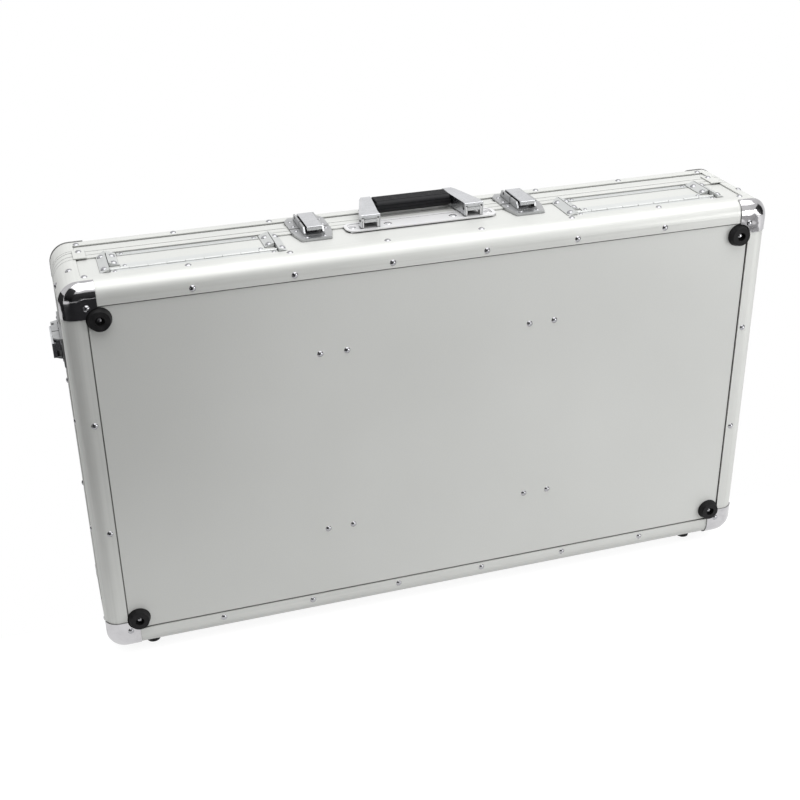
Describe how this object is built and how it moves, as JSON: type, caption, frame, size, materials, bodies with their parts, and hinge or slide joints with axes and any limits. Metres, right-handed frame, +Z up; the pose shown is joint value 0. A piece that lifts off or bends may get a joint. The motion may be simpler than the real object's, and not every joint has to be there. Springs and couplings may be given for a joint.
{
  "type": "guitar pedal case",
  "caption": "Flat pedal case with riveted metal edges, hinged lid, snap latches, folding handle and hinged cable flaps in its front wall.",
  "frame": {"origin": "middle of the case's footprint, at the soles of the rear feet that it stands on", "axes": "+X along the length, to the right of a viewer who faces the base's outside; +Y from the base's outside towards the lid; +Z up, from the rear wall to the wall with the handle"},
  "size_m": [0.798, 0.1448, 0.4665],
  "materials": {
    "panel_grey": "satin grey laminated board",
    "edge_metal": "satin anodised extrusion",
    "cap_chrome": "polished",
    "rivet_metal": "bright domed",
    "rubber_black": "matt",
    "screw_steel": "plated",
    "latch_chrome": "polished",
    "handle_chrome": "polished",
    "grip_black": "ribbed soft grip",
    "hinge_steel": "plated",
    "deck_board": "black board",
    "loop_cloth": "short loop pile",
    "foam_grey": "foam pad"
  },
  "bodies": {
    "base": {"base_panel": "panel_grey", "base_front_wall": "panel_grey", "base_rear_wall": "panel_grey", "base_left_wall": "panel_grey", "base_right_wall": "panel_grey", "base_long_edges": "edge_metal", "base_short_edges": "edge_metal", "base_corner_posts": "edge_metal", "base_closing_profile": "edge_metal", "flap_jambs": "edge_metal", "base_corner_caps": "cap_chrome", "base_rivets": "rivet_metal", "base_feet": "rubber_black", "base_rear_feet": "rubber_black", "base_foot_screws": "screw_steel", "handle_screws": "screw_steel", "deck_brackets": "screw_steel", "latch_strikes": "latch_chrome", "handle_plate": "handle_chrome", "handle_pivots": "handle_chrome", "flap_fixed_leaves": "hinge_steel", "flap_hinge_pins": "hinge_steel", "hinge_base_leaves": "hinge_steel", "hinge_pins": "hinge_steel", "pedal_deck": "deck_board", "deck_loop_cover": "loop_cloth"},
    "lid": {"lid_panel": "panel_grey", "lid_front_wall": "panel_grey", "lid_rear_wall": "panel_grey", "lid_left_wall": "panel_grey", "lid_right_wall": "panel_grey", "lid_long_edges": "edge_metal", "lid_short_edges": "edge_metal", "lid_corner_posts": "edge_metal", "lid_corner_caps": "cap_chrome", "lid_closing_profile": "edge_metal", "lid_corner_clips": "edge_metal", "lid_rivets": "rivet_metal", "lid_foam": "foam_grey", "lid_rear_feet": "rubber_black", "lid_foot_screws": "screw_steel", "latch_plates": "latch_chrome", "latch_pins": "latch_chrome", "hinge_lid_leaves": "hinge_steel"},
    "handle": {"handle_arm_left": "handle_chrome", "handle_arm_right": "handle_chrome", "handle_rod": "handle_chrome", "handle_grip": "grip_black"},
    "flap_left": {"flap_left_panel": "panel_grey", "flap_left_frame": "edge_metal", "flap_left_leaf": "hinge_steel", "flap_left_rivets": "rivet_metal"},
    "flap_right": {"flap_right_panel": "panel_grey", "flap_right_frame": "edge_metal", "flap_right_leaf": "hinge_steel", "flap_right_rivets": "rivet_metal"},
    "lever_front_left": {"latch_lever_front_left": "latch_chrome"},
    "lever_front_right": {"latch_lever_front_right": "latch_chrome"},
    "lever_left": {"latch_lever_left": "latch_chrome"},
    "lever_right": {"latch_lever_right": "latch_chrome"}
  },
  "joints": [
    {"name": "lid_hinge", "type": "hinge", "parent": "base", "child": "lid", "pos_m": [0, 0.01395, 0.0095], "axis": [-1, 0, 0], "range_deg": [0, 105]},
    {"name": "handle_swing", "type": "hinge", "parent": "base", "child": "handle", "pos_m": [0, -0.00495, 0.4583], "axis": [1, 0, 0], "range_deg": [0, 90]},
    {"name": "flap_left_hinge", "type": "hinge", "parent": "base", "child": "flap_left", "pos_m": [-0.2495, -0.03445, 0.4489], "axis": [1, 0, 0], "range_deg": [0, 110]},
    {"name": "flap_right_hinge", "type": "hinge", "parent": "base", "child": "flap_right", "pos_m": [0.2495, -0.03445, 0.4489], "axis": [1, 0, 0], "range_deg": [0, 110]},
    {"name": "lever_front_left_pivot", "type": "hinge", "parent": "lid", "child": "lever_front_left", "pos_m": [-0.1195, 0.03355, 0.4565], "axis": [-1, 0, 0], "range_deg": [0, 110]},
    {"name": "lever_front_right_pivot", "type": "hinge", "parent": "lid", "child": "lever_front_right", "pos_m": [0.1195, 0.03355, 0.4565], "axis": [-1, 0, 0], "range_deg": [0, 110]},
    {"name": "lever_left_pivot", "type": "hinge", "parent": "lid", "child": "lever_left", "pos_m": [-0.395, 0.03355, 0.3605], "axis": [0, 0, -1], "range_deg": [0, 110]},
    {"name": "lever_right_pivot", "type": "hinge", "parent": "lid", "child": "lever_right", "pos_m": [0.395, 0.03355, 0.3605], "axis": [0, 0, 1], "range_deg": [0, 110]}
  ]
}
